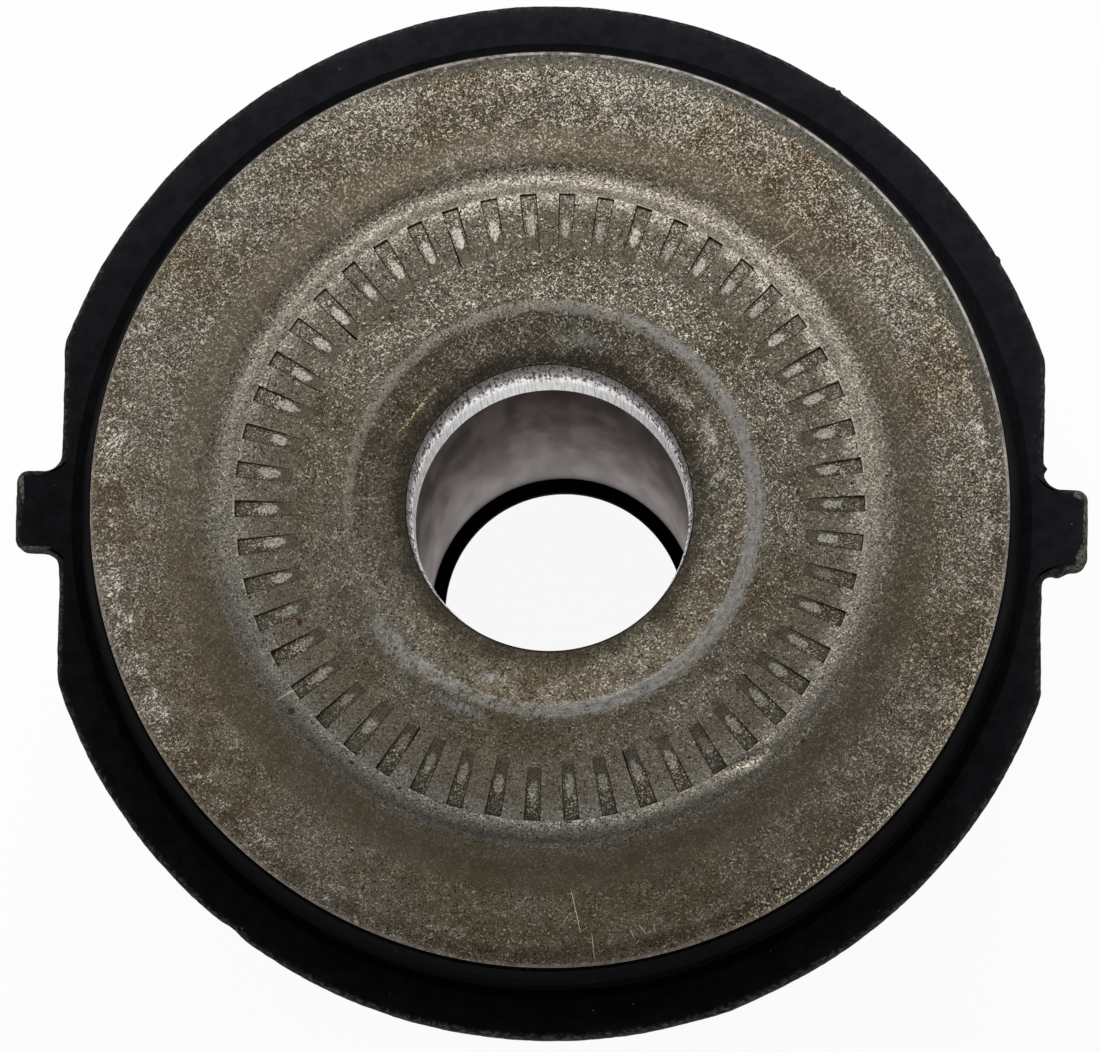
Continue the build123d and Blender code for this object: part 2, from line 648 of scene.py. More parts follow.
@dataclass(frozen=True)
class ForgedSteel:
    """Cold-forged steel of the inner sleeve: a worn face, struck marks and a pierced hole."""

    # Rust dots by bearing, reach and size, and then each other blemish with its own shape
    RUST = tuple(
        dot(*spot)
        for spot in (
            (206.1, 13.87, 0.20),
            (209.1, 15.78, 0.16),
            (198.1, 15.78, 0.12),
            (213.1, 17.19, 0.12),
            (233.6, 16.33, 0.15),
            (243.1, 16.13, 0.12),
            (245.1, 21.41, 0.14),
            (297.2, 22.30, 0.17),
            (300.1, 14.52, 0.12),
            (301.7, 22.45, 0.24),
            (318.1, 17.44, 0.14),
            (334.1, 13.67, 0.12),
        )
    )
    SCRATCHES = (
        Scar(11.62, 13.76, 1.05, 0.035, 35.4),
        Scar(11.80, 14.72, 0.50, 0.030, 60.0),
        Scar(11.93, 18.90, 0.30, 0.025, 32.0),
        Scar(13.60, 12.10, 0.90, 0.025, 41.0),
        Scar(16.40, 9.30, 0.60, 0.025, 20.0),
        Scar(-13.10, -9.80, 0.85, 0.03, 33.0),
        Scar(4.10, 19.60, 0.55, 0.025, -42.0),
        Scar(-3.90, 8.40, 0.50, 0.035, 68.0),
        Scar(1.72, -20.36, 1.33, 0.030, -76.5),
        Scar(2.64, -22.20, 0.83, 0.030, -82.7),
        Scar(4.60, -21.50, 0.32, 0.022, -65.0),
        Scar(5.10, -21.25, 0.38, 0.022, -50.0),
        Scar(5.70, -21.20, 0.26, 0.022, -75.0),
    )
    CHAIN = Scar(-6.78, 4.78, 1.85, 0.10, 51.8)
    SMEARS = (
        Scar(1.3, 8.6, 1.7, 0.45, -12.0),
        Scar(-7.6, -7.4, 2.3, 0.75, 129.0),
        Scar(-5.6, -8.6, 1.7, 0.6, 146.0),
        Scar(-2.6, -8.8, 1.2, 0.35, 168.0),
        Scar(-4.2, -10.3, 1.9, 0.35, 158.0),
        Scar(5.5, 8.6, 2.9, 0.55, -32.0),
        Scar(8.3, 6.0, 1.6, 0.5, -54.0),
        Scar(1.0, 9.95, 1.5, 0.3, -6.0),
    )
    SCUFFS = (
        Scar(6.5, 5.7, 1.1, 0.38, -42.0),
        Scar(8.0, 3.9, 0.9, 0.32, -62.0),
        Scar(8.5, 1.7, 0.8, 0.30, 48.0),
    )
    STAIN = Scar(-12.81, -10.61, 0.30, 0.18, 40.0)
    GOUGE = Scar(10.42, -12.60, 1.35, 0.32, 27.0)

    phase: float
    pitch: float
    web_end: float
    face: float
    mouth: float
    roll_in: float
    land_inner: float
    land_outer: float
    rim: float

    def make(self, slot: Slot) -> bpy.types.Material:
        """Build the material of a slot.

        Args:
            slot: where it goes. Only the hole's slot has the hole's own coat on the others,
                because its patterns are costly and nothing of them shows on the face.

        Returns:
            A material that covers the face, the marks and the rim, and the pierced hole too.
        """
        skin = Skin("pierced_steel" if slot is Slot.HOLE else "forged_steel")
        coats = [self._face, self._contact_rings, self._marks, self._damage, self._rim]
        if slot is Slot.HOLE:
            coats.append(self._hole)
        for coat in coats:
            coat(skin)
        return skin.finish(0.02, 0.5, {"Metallic": 0.9, "Specular IOR Level": 0.2})

    def _face(self, skin: Skin) -> None:
        """Lay the rumbled skin: a smooth dark olive ground with small bright flecks and pits.

        Args:
            skin: the surface, with what is on it so far.
        """
        g, radius, angle = skin.graph, skin.radius, skin.angle
        beyond, from_rim = radius - self.land_outer, radius - self.rim
        flat = g.product(skin.place, (1.0, 1.0, 0.2))
        clouds = g.noise(flat, 0.20, 3, 0.6)
        patches = g.noise(flat, 0.9, 3, 0.65, 0.6)
        grain = g.noise(flat, 4.2, 3, 0.7)
        fine = g.noise(flat, 9.5, 1, 0.7)
        strokes = g.noise(g.stretched(flat, 38, 11.5, 5.5), 1.0, 1, 0.6, 1.0)
        crossed = g.noise(g.stretched(flat, -40, 11.5, 5.5), 1.0, 1, 0.6, 1.0)

        # Zones: the edges that are worn, the contact ring, and what is calmer than the rest
        sunward = angle.lean(62.0)
        left = angle.lobe(205.0) ** 1.5
        right = angle.lobe(-5.0) ** 4.0
        outer = beyond.ramp(-0.4, 1.4)
        ring = (beyond + (patches - 0.5) * 1.2).band(-1.8, 0.2, 0.9)
        worn_edge = (from_rim + (patches - 0.5) * 1.0).band(-1.35, -0.30, 0.4)
        scuffed = worn_edge * (left * 0.7 + right * 0.6) * patches.ramp(0.38, 0.58)
        # Painted sheen: a paler, calmer band just inside the rim, shown only on the side facing 58°
        facing = angle.toward(58.0).ramp(0.45, 0.85)
        band = (from_rim + (patches - 0.5) * 0.9 + (grain - 0.5) * 0.4).ramp(-1.05, -0.65) * facing
        calm = band * 1.8 + beyond.band(-4.1, -1.6, 0.8) * 0.8

        # Painted highlight: flecks grow denser towards the lit side, sunward, and on the lit part of the
        # contact ring
        density = sunward * (0.040 + outer * 0.024) + clouds * 0.12 + patches * 0.14 - 0.190
        density = density + left * outer * 0.022
        density = density - calm * 0.05 + scuffed * 0.06 + ring * sunward * 0.055
        shapes = strokes.most(crossed) + density
        flecks = shapes.ramp(0.560, 0.620)
        cores = (shapes + (fine - 0.5) * 0.35).ramp(0.615, 0.680)
        pits = (fine * 0.65 + grain * 0.35 - density * 0.3).ramp(0.430, 0.375)

        skin.colour = g.blend(clouds.ramp(0.36, 0.64), tint(80, 71, 56), tint(88, 83, 73))
        skin.lay(patches.ramp(0.40, 0.64) * 0.55, tint(108, 101, 88))
        skin.lay(beyond.band(-4.1, -1.0, 0.8) * 0.5, tint(104, 99, 87))
        # Painted light: the contact ring is laid in a paler copy on the lit side, sunward
        skin.lay(ring * 0.72, g.blend(sunward, tint(106, 104, 98), tint(134, 127, 115)))
        # Painted sheen: the paler band inside the rim on the side facing 58°
        skin.lay(band * 0.6, tint(104, 103, 95))
        skin.dim(0.40 + 0.80 * fine.ramp(0.32, 0.68) + 0.40 * grain.ramp(0.32, 0.68))

        warm = clouds.ramp(0.60, 0.44) * outer
        pale = g.blend(warm * 0.6, tint(146, 137, 121), tint(154, 135, 109))
        glint = g.blend(warm * 0.6, tint(236, 228, 212), tint(240, 221, 190))
        sparkle = scuffed * (strokes + density).ramp(0.60, 0.66)
        # Painted highlight: the flecks and their glint cores are brighter towards the lit side, sunward
        skin.lay(flecks * (0.42 + 0.30 * sunward), pale)
        skin.lay(cores * (0.30 + 0.50 * sunward), glint)
        skin.lay(pits * 0.85, tint(34, 28, 21))
        skin.lay(sparkle, tint(255, 250, 240))

        # Painted shade: some sides are darker than others, by bearing, and the hole's surround is darkest
        north, south, east, west = (angle.lobe(bearing) for bearing in (100.0, 300.0, 45.0, 195.0))
        skin.dim(1.06 - outer * (0.06 + 0.16 * north + 0.09 * south - 0.09 * west))
        within = radius - self.land_inner
        skin.dim(1.0 - within.band(1.0, 3.0, 0.6) * east * 0.12 - within.ramp(0.0, -0.9) * south * 0.10)
        # Painted shadow round the hole's mouth
        around = radius - self.mouth + (patches - 0.5) * 1.2
        skin.lay(around.ramp(1.2, 0.0) * 0.75, tint(47, 43, 35))
        skin.rough = 0.50 - flecks * 0.06 + pits * 0.15 - sparkle * 0.1
        rise = (fine * 0.65 + grain * 0.35).ramp(0.365, 0.445)
        skin.height = fine * 0.6 + grain * 0.5 + rise * 0.5

    def _contact_rings(self, skin: Skin) -> None:
        """Lay the two rings where the bracket bears: smeared bright metal, with painted light towards the
        top and painted shade towards the bottom.

        Args:
            skin: the surface, with what is on it so far.
        """
        g, place, radius, angle = skin.graph, skin.place, skin.radius, skin.angle
        fray = g.noise(place, 1.6, 3, 0.7, 0.6)
        shred = g.noise(place, 5.0, 2, 0.7, 1.0)
        fine = g.noise(place, 9.5, 1, 0.6)
        drag = g.noise(g.joined(angle * 0.35, radius * 5.5, 0.0), 1.0, 2, 0.7)
        flecked = shred * 0.5 + fine * 0.5
        low, high = angle.lean(280.0), angle.lobe(110.0)
        within, beyond = radius - self.land_inner, radius - self.land_outer

        outer = (beyond + (fray - 0.5) * 1.6).band(-1.3, 0.1, 0.6)
        # The outer ring's bright flecks are worn metal, stronger towards 72° as painted highlight
        skin.lay(outer * flecked.ramp(0.49, 0.56) * 0.42 * angle.lean(72.0), tint(200, 189, 172))

        side = angle.lean(-25.0)
        reach = 0.55 + 0.38 * side
        ragged = within + (shred - 0.5) * 1.2 + (fray - 0.5) * 0.6
        inner = (within + (shred - 0.5) * 0.5).ramp(0.03, 0.13) * (reach - ragged).ramp(-0.06, 0.06)
        inner = inner * (side * 0.24 + fray * 0.6 + shred * 0.4 - 0.115).ramp(0.47, 0.53)
        flat_metal = g.blend(drag.ramp(0.35, 0.65), tint(124, 122, 117), tint(158, 155, 149))
        flat_metal = g.blend(fine.ramp(0.42, 0.34) * 0.6, flat_metal, tint(70, 66, 58))
        # Painted shade: the inner ring's bright metal is darker towards the bottom
        skin.lay(inner * 0.92, g.scaled(flat_metal, 1.0 - low * 0.20))
        halo = (within + (fray - 0.5) * 0.5).band(0.0, 0.55, 0.12) * flecked.ramp(0.44, 0.52)
        # The halo of light flecks by the inner ring is polish, shown only towards the top as painted
        # highlight
        skin.lay(halo * high * 0.75, tint(158, 152, 142))

        land = beyond.band(-1.0, 0.0, 0.12)
        slope = beyond.band(-0.18, 0.9, 0.12)
        apron = beyond.band(0.4, 2.4, 0.5)
        # Painted light and shade: the land is lighter towards the top and darker towards the bottom, and its
        # outer slope darker towards the top
        skin.dim(land * (high * 0.14 - low * 0.27) - slope * high * 0.34 + 1.0)
        # A darker olive band just outside the land; its lighter tone towards the top is painted light
        skin.lay(apron * 0.5, g.blend(high, tint(88, 80, 65), tint(96, 88, 74)))
        dull = beyond.band(-0.4, 0.5, 0.3) * high
        skin.rough = skin.rough - outer * 0.08 - inner * 0.04 + dull * 0.28
        skin.height = skin.height * (1 - within.band(0.05, 0.7, 0.2) * 0.6)

    def _marks(self, skin: Skin) -> None:
        """Dress the struck marks: brown floors, a burnished spot, dark walls of grime and painted shade, and
        a bright burr that is polish and painted highlight.

        Args:
            skin: the surface, with what is on it so far.
        """
        g, place, angle = skin.graph, skin.place, skin.angle
        across, along, inside = g.parts(g.attribute("mark_place"))
        wall, burr, _ = g.parts(g.attribute("mark_trim"))
        number = ((angle - self.phase) / self.pitch).math("ROUND")
        lottery = g.node("ShaderNodeTexWhiteNoise", {"noise_dimensions": "1D"}, {"W": number}, "Color")
        luck_a, luck_b, luck_c = g.parts(lottery)
        speck = g.noise(place, 11.0, 1, 0.6)
        fray = g.noise(place, 3.4, 3, 0.65)

        floor = inside.ramp(0.5, 0.95)
        skin.lay(floor * 0.8, g.blend(speck.ramp(0.34, 0.66), tint(60, 54, 44), tint(104, 96, 82)))
        span = (along - 0.36 - luck_a * 0.12) / (0.17 + luck_b * 0.06)
        spot = (across / 0.62) * (across / 0.62) + span * span + (fray - 0.5) * 3.2
        spot = spot.ramp(1.25, 0.7) * floor * (luck_c * 1.4 + 0.35).least(1.0)
        lit = angle.toward(85.0) * 0.25 + 0.75
        bright = g.blend(speck.ramp(0.38, 0.58), tint(138, 134, 125), tint(206, 203, 192))
        skin.lay(spot * lit * 0.9, bright)
        tips = (speck + fray * 0.5).ramp(0.83, 0.90) * along.band(0.35, 0.97, 0.3) * floor
        skin.lay(tips * (luck_b + 0.4).least(1.0) * 0.85, tint(206, 198, 180))
        # A dark line along each mark's walls and outer end: grime and painted shade where the recess is
        # shaded
        line = (wall * 1.4).ramp(0.6, 1.2) * (fray.ramp(0.3, 0.6) * 0.6 + 0.4)
        skin.lay(line * 0.88, tint(22, 19, 14))
        # The bright burr at the outer end is partly polish and partly painted highlight
        lip = burr.ramp(0.35, 0.9) * fray.ramp(0.45, 0.6)
        skin.lay(lip * 0.6, tint(196, 187, 171))
        skin.rough = skin.rough + line * 0.2

    def _damage(self, skin: Skin) -> None:
        """Lay handling scratches, dragged patches, a gouge and rust dots on the flange.

        Args:
            skin: the surface, with what is on it so far.
        """
        g, place = skin.graph, skin.place
        above = skin.z.ramp(self.face - 1.2, self.face - 0.9)
        fray = g.noise(place, 5.0, 2, 0.6)
        speck = g.noise(place, 9.0, 1, 0.5)
        cuts = g.nearest(place, self.SCRATCHES).ramp(1.0, 0.75)
        skin.lay(cuts * above * (fray * 0.8 + 0.3), tint(206, 194, 172))
        chain = (g.spread(place, self.CHAIN) + (fray - 0.5) * 1.2).ramp(1.0, 0.6) * speck.ramp(0.5, 0.56)
        skin.lay(chain * above * 0.9, tint(226, 208, 160))

        smears = g.nearest(place, self.SMEARS).ramp(1.0, 0.4)
        ticks = g.noise(g.stretched(place, 84, 9.0, 2.2), 1.0, 1, 0.5)
        rubbed = ticks.ramp(0.52, 0.64) * 0.5 + fray.ramp(0.46, 0.54) * 0.5
        skin.lay(smears * rubbed * above, tint(146, 146, 143))

        scuffs = g.nearest(place, self.SCUFFS).ramp(1.0, 0.5)
        curls = g.noise(place, 3.2, 2, 0.75, 1.6).band(0.47, 0.53, 0.02)
        skin.lay(scuffs * curls * above * 0.85, tint(228, 226, 212))

        torn = (g.spread(place, self.GOUGE) + (fray - 0.5) * 1.6).ramp(1.0, 0.7) * above
        burred = g.blend(speck.ramp(0.40, 0.60), tint(70, 63, 52), tint(190, 182, 166))
        skin.lay(torn * 0.9, burred)

        stain = (g.spread(place, self.STAIN) + (fray - 0.5) * 1.5).ramp(1.0, 0.7)
        skin.lay(stain * above * 0.8, tint(38, 42, 36))
        rust = (g.nearest(place, self.RUST) + (fray - 0.5) * 1.6).ramp(1.1, 0.7) * above
        skin.lay(rust * 0.9, g.blend(speck.ramp(0.4, 0.6), tint(56, 32, 20), tint(96, 56, 34)))
        skin.rough = skin.rough + rust * 0.2

    def _rim(self, skin: Skin) -> None:
        """Dress the flange's edge: a bright drawn corner over a dark side, with painted highlight on the
        corner towards 58° and painted shade near the edge towards 275°.

        Args:
            skin: the surface, with what is on it so far.
        """
        g, place, angle, z = skin.graph, skin.place, skin.angle, skin.z
        from_rim = skin.radius - self.rim
        fray = g.noise(place, 1.6, 3, 0.6)
        spark = g.noise(place, 7.5, 1, 0.6)
        top = z.ramp(self.face - 1.3, self.face - 0.9)
        edge = (from_rim - 0.12 * (fray - 0.5)).band(-0.17, 0.05, 0.08) * top
        # Painted highlight: the drawn corner is brighter and stronger on the side facing 58°
        facing = angle.toward(58.0).ramp(0.3, 0.9)
        drawn = g.blend(facing, tint(150, 138, 130), tint(206, 200, 192))
        skin.lay(edge * fray.ramp(0.3, 0.6) * (0.4 + 0.4 * facing), drawn)
        # Painted shade: darker towards the edge on the side turned away from the light, at 275°
        away = angle.lobe(275.0)
        skin.dim(1.0 - from_rim.ramp(-1.15, -0.35) * away * away * 0.30)
        glints = (from_rim + (fray - 0.5) * 0.8).band(-0.9, 0.0, 0.4) * spark.ramp(0.575, 0.625)
        glints = glints * angle.toward(322.0).ramp(0.84, 0.97)
        skin.lay(glints * 0.85, tint(226, 215, 186))
        side = z.ramp(self.face - 0.8, self.face - 1.3)
        skin.lay(side * 0.8, tint(44, 40, 34))
        skin.rough = skin.rough - edge * 0.1

    def _hole(self, skin: Skin) -> None:
        """Dress the pierced hole: burnished and dragged below, torn above.

        Args:
            skin: the surface, with what is on it so far.
        """
        g, angle, z = skin.graph, skin.angle, skin.z
        edge = self.face - self.roll_in - 0.22
        inside = skin.radius.ramp(self.mouth - 0.10, self.mouth - 0.18) * z.ramp(edge + 0.03, edge - 0.03)
        drags = g.noise(g.joined(angle * 0.75, z * 0.09, 0.0), 1.0, 3, 0.7)
        torn = g.noise(g.joined(angle * 0.75, z * 0.75, 0.0), 1.0, 3, 0.7)
        reach = g.noise(g.joined(angle * 0.06, 0.0, 0.0), 1.0, 3, 0.8)
        tearing = (z - self.web_end - 4.6 + (reach - 0.5) * 8.0).ramp(-1.5, 2.4)
        pits = (torn * 0.75 + drags * 0.25).ramp(0.52, 0.42) * tearing
        sheared = g.blend(drags.ramp(0.54, 0.40) * 0.85, tint(255, 255, 255), tint(118, 104, 100))
        sheared = g.blend(tearing * 0.6, sheared, tint(250, 236, 232))
        sheared = g.blend(pits * 0.85, sheared, tint(92, 66, 62))
        crack_level = self.face - 2.3 + (reach - 0.5) * 2.0
        crack = abs(z - crack_level).ramp(0.16, 0.05) * angle.band(15.0, 80.0, 20.0)
        sheared = g.blend(crack * 0.8, sheared, tint(60, 40, 38))
        skin.lay(inside, sheared)
        skin.rough = skin.rough + inside * (0.14 + pits * 0.3 - skin.rough)
        skin.height = skin.height + (drags * 0.5 - pits - skin.height) * inside


@dataclass(frozen=True)
class ForgedBore:
    """The long forged bore under the web: dull and brownish towards its upper end, and darker there as
    painted shade.
    """

    lower: float
    upper: float

    def make(self) -> bpy.types.Material:
        """Build the material.

        Returns:
            The material of the bore's wall.
        """
        skin = Skin("forged_bore")
        g = skin.graph
        mottle = g.noise(g.product(skin.place, (0.7, 0.7, 0.12)), 1.0, 2, 0.5).ramp(0.3, 0.7)
        # Painted shade: the wall is darker towards the upper end and lighter towards the lower end, where
        # light comes in from below
        rise = skin.z.ramp(self.lower, self.upper)
        colour = g.blend(rise, tint(150, 149, 152), tint(94, 70, 58))
        return g.surface(
            {
                "Base Color": g.scaled(colour, 0.74 + 0.24 * mottle),
                "Metallic": 1.0 - rise * (0.56 - 0.20 * mottle),
                "Roughness": 0.56 - 0.06 * mottle,
                "Specular IOR Level": 0.0,
                "Specular Tint": (1.0, 0.90, 0.86, 1.0),
            }
        )


@dataclass(frozen=True)
class BondedRubber:
    """Black moulded rubber with dust, tool lines on the collar, a trimmed edge and a painted sheen towards
    +Y.
    """

    TORN = (
        Scar(27.35, 0.0, 0.13, 2.0),
        Scar(27.15, -1.35, 0.28, 0.75, -18.0),
        Scar(27.0, 1.75, 0.35, 0.25, -30.0),
        Scar(26.9, -1.95, 0.6, 0.14, 8.0),
        Scar(-27.2, 1.3, 0.14, 0.9, 6.0),
        Scar(-26.5, -1.95, 0.9, 0.10),
    )

    stop_top: float

    def make(self) -> bpy.types.Material:
        """Build the material.

        Returns:
            One material for the whole body.
        """
        skin = Skin("bonded_rubber")
        g, place, x, y, z = skin.graph, skin.place, skin.x, skin.y, skin.z
        trim, _, _ = g.parts(g.attribute("trim"))
        clouds = g.noise(place, 0.9, 4, 0.7)
        grain = g.noise(place, 5.5, 3, 0.65)
        fray = g.noise(place, 3.6, 3, 0.7, 0.5)
        # Painted sheen: the rubber is lighter and more grainy towards +Y, where the light falls
        painted_sheen = (y / 27.0 + x / 80.0).ramp(-1.0, 1.0)
        skin.colour = g.blend(clouds.ramp(0.38, 0.64), tint(8, 8, 9), tint(16, 16, 19))
        skin.lay(painted_sheen * (0.55 + 0.25 * clouds.ramp(0.4, 0.6)), tint(50, 51, 56))
        skin.lay(grain.ramp(0.52, 0.72) * 0.3 * painted_sheen, tint(44, 44, 48))

        collar = z.band(self.stop_top + 0.1, self.stop_top + 5.1, 0.3)
        lines = g.noise(g.joined(0.02 * x, 0.02 * y, z), 2.2, 2, 0.6)
        skin.lay(collar * 0.9, g.blend(lines.ramp(0.44, 0.56), tint(2, 2, 2), tint(12, 12, 12)))
        dust = g.spots(place, 1.5, 0.10, 0.10).most(g.spots(place, 3.1, 0.12, 0.03))
        skin.lay(dust * 0.6, tint(118, 112, 104))

        cut = (trim + (fray - 0.5) * 0.6).ramp(0.45, 1.0)
        skin.lay(cut * 0.75, g.blend(fray.ramp(0.42, 0.66), tint(38, 39, 36), tint(98, 98, 90)))
        top = z.ramp(self.stop_top - 1.0, self.stop_top - 0.7)
        frayed = g.blend(grain.ramp(0.4, 0.6), tint(70, 66, 60), tint(132, 126, 118))
        for scar in self.TORN:
            strip = (g.spread(place, scar) + (fray - 0.5) * 1.4).ramp(1.05, 0.75)
            skin.lay(strip * top * 0.85, frayed)
        skin.rough = 0.66 + grain * 0.2 + collar * 0.12
        skin.height = grain * 0.6 + cut * fray * 1.2 + lines * collar * 0.8
        return skin.finish(0.05, 0.6, {"Specular IOR Level": 0.03})


@dataclass(frozen=True)
class DrawnSteel:
    """Bare drawn tube of the outer sleeve, with turning lines, press marks and oil stains."""

    lower: float
    upper: float

    def make(self) -> bpy.types.Material:
        """Build the material.

        Returns:
            The material of the outer sleeve.
        """
        skin = Skin("drawn_steel")
        g, place, z = skin.graph, skin.place, skin.z
        lines = g.noise(g.joined(0.03 * skin.x, 0.03 * skin.y, z), 7.0, 3, 0.7)
        drag = g.noise(g.joined(skin.angle * 1.2, z * 0.05, 0.0), 1.0, 3, 0.7)
        stain = g.noise(place, 0.16, 4, 0.6)
        skin.colour = g.blend(lines.ramp(0.35, 0.65), tint(128, 127, 124), tint(166, 165, 161))
        skin.lay(stain.ramp(0.46, 0.70) * 0.38, tint(98, 93, 84))
        skin.lay(drag.ramp(0.62, 0.70) * 0.35, tint(190, 188, 182))
        skin.lay(g.spots(place, 0.35, 0.12, 0.18) * 0.7, tint(104, 62, 38))
        ends = 1 - z.band(self.lower + 0.6, self.upper - 0.6, 0.4)
        skin.lay(ends * 0.4, tint(92, 88, 82))
        skin.rough = 0.30 + lines * 0.18 + stain * 0.12
        skin.height = lines * 0.6 + drag * 0.4
        return skin.finish(0.015, 0.4, {"Metallic": 1.0})


# ------------------------------------------------------------------------------ pieces


@dataclass
class InnerSleeve:
    """Forged sleeve with a flange, a raised land and a ring of struck marks, in mm."""

    bolt_hole: float = 7.05
    torn_hole: float = 7.25
    bore: float = 7.6
    outside: float = 11.0
    end: float = 1.2
    face: float = 63.2
    web_end: float = 53.0
    sheared: float = 6.4
    mouth_round: float = 0.25
    roll_in: float = 0.28
    flange: float = 23.25
    flange_under: float = 57.7
    roll_width: float = 1.0
    roll_drop: float = 0.27
    corner_bevel: float = 0.15
    rim_draft: float = 4.0
    root_slope: float = 2.5
    end_chamfer: float = 0.5
    land: float = 63.65
    land_inner: float = 9.9
    land_outer: float = 17.0
    land_slope: float = 0.9
    ring_width: float = 0.95
    track_depth: float = 0.05
    marks: int = 50
    mark_inner: float = 13.1
    mark_length: float = 2.8
    mark_width: float = 0.73
    mark_depth: float = 0.28
    mark_run_out: float = 0.03
    mark_phase: float = 1.5
    columns_per_mark: int = 14
    tile_inner: float = 12.4
    tile_outer: float = 16.4
    tile_middle: float = 14.5
    crease: float = 32.0
    seed: int = 11

    # Rings that only keep the long faces of the turned shape even
    LAND_RING = 16.7
    FACE_RINGS = (19.9, 21.0)
    SHANK_RING = 30.0
    BORE_RINGS = (20.0, 37.0)

    # The land's outer slope: share of its width, and drop from its top as the press leaves it
    SLOPE = ((0.0, 0.02), (0.4, 0.10), (0.9, 0.25), (1.4, 0.37), (2.0, 0.45))

    # The tile's rows along a mark, and its columns as set off from the mark's wall
    TRACK_ROW = 12.8
    FLOOR_ROWS = (13.35, 13.7, 14.1, 14.5, 14.9, 15.3, 15.6, 15.8)
    RING_ROW = 16.2
    WALL_COLUMNS = (-0.055, -0.012, 0.012, 0.05)

    # How far the marks stray: tilt in degrees, share of the size in x, y and z, shift aside
    # in mm, and mean and spread of the shift towards the axis in mm
    STRAY_TILT = 1.0
    STRAY_SIZE = (0.03, 0.035, 0.14)
    STRAY_ASIDE = 0.015
    STRAY_ALONG = (0.01, 0.02)

    # The gouge in steps: share of the way to its edge, and how far each goes down
    GOUGE_STEPS = ((1.0, 0.025), (0.75, 0.035), (0.45, 0.045))

    @property
    def track(self) -> float:
        """Height of the track that the marks are struck in."""
        return self.land - self.track_depth

    @property
    def mark_outer(self) -> float:
        """Radius where the marks end."""
        return self.mark_inner + self.mark_length

    @property
    def pitch(self) -> float:
        """Distance between marks on the flat tile."""
        return FULL_TURN * self.tile_middle / self.marks

    def build(self) -> bpy.types.Object:
        """Turn the sleeve, add the ring of marks and dress it.

        Returns:
            The finished piece.
        """
        ring = self._mark_ring()
        piece = Bench.draw_profile("inner_sleeve_forged", self._profile())
        Bench.turn(piece, self.marks * self.columns_per_mark)
        Bench.clear()
        bpy.context.view_layer.objects.active = piece
        ring.select_set(True)
        piece.select_set(True)
        bpy.ops.object.join()
        self._set_phase(piece)
        self._strike_gouge(piece)
        Bench.close(piece, self.crease)
        steel = ForgedSteel(
            phase=self.mark_phase,
            pitch=360 / self.marks,
            web_end=self.web_end,
            face=self.face,
            mouth=self.torn_hole + self.mouth_round,
            roll_in=self.roll_in,
            land_inner=self.land_inner,
            land_outer=self.land_outer,
            rim=self.flange,
        )
        bore = ForgedBore(self.end, self.web_end)
        finishes = {
            Slot.FORGED: steel.make(Slot.FORGED),
            Slot.BORE: bore.make(),
            Slot.HOLE: steel.make(Slot.HOLE),
        }
        Bench.paint(piece, *(finishes[slot] for slot in Slot))
        web, mouth = self.web_end, self.face - self.roll_in - self.mouth_round
        self._dress(piece, Slot.BORE, self.bore + self.end_chamfer / 2, (0.0, web + NEAR))
        self._dress(piece, Slot.HOLE, self.torn_hole + 0.1, (web - NEAR, mouth + 0.09))
        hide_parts("inner_sleeve")
        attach(piece, "root")
        return piece

    def _dress(self, piece: bpy.types.Object, slot: Slot, reach: float, span: tuple[float, float]) -> None:
        """Give a part of the wall inside the sleeve its own finish.

        Args:
            piece: the sleeve, which carries all its finishes.
            slot: the finish.
            reach: radius within which the wall lies, in mm.
            span: lowest and highest height of the part, in mm.
        """
        Bench.edit(piece)
        Bench.pick(piece, lambda p: hypot(p.x, p.y) < reach and span[0] < p.z < span[1])
        bpy.ops.mesh.select_mode(type="FACE")
        piece.active_material_index = slot.value
        bpy.ops.object.material_slot_assign()
        Bench.clear()

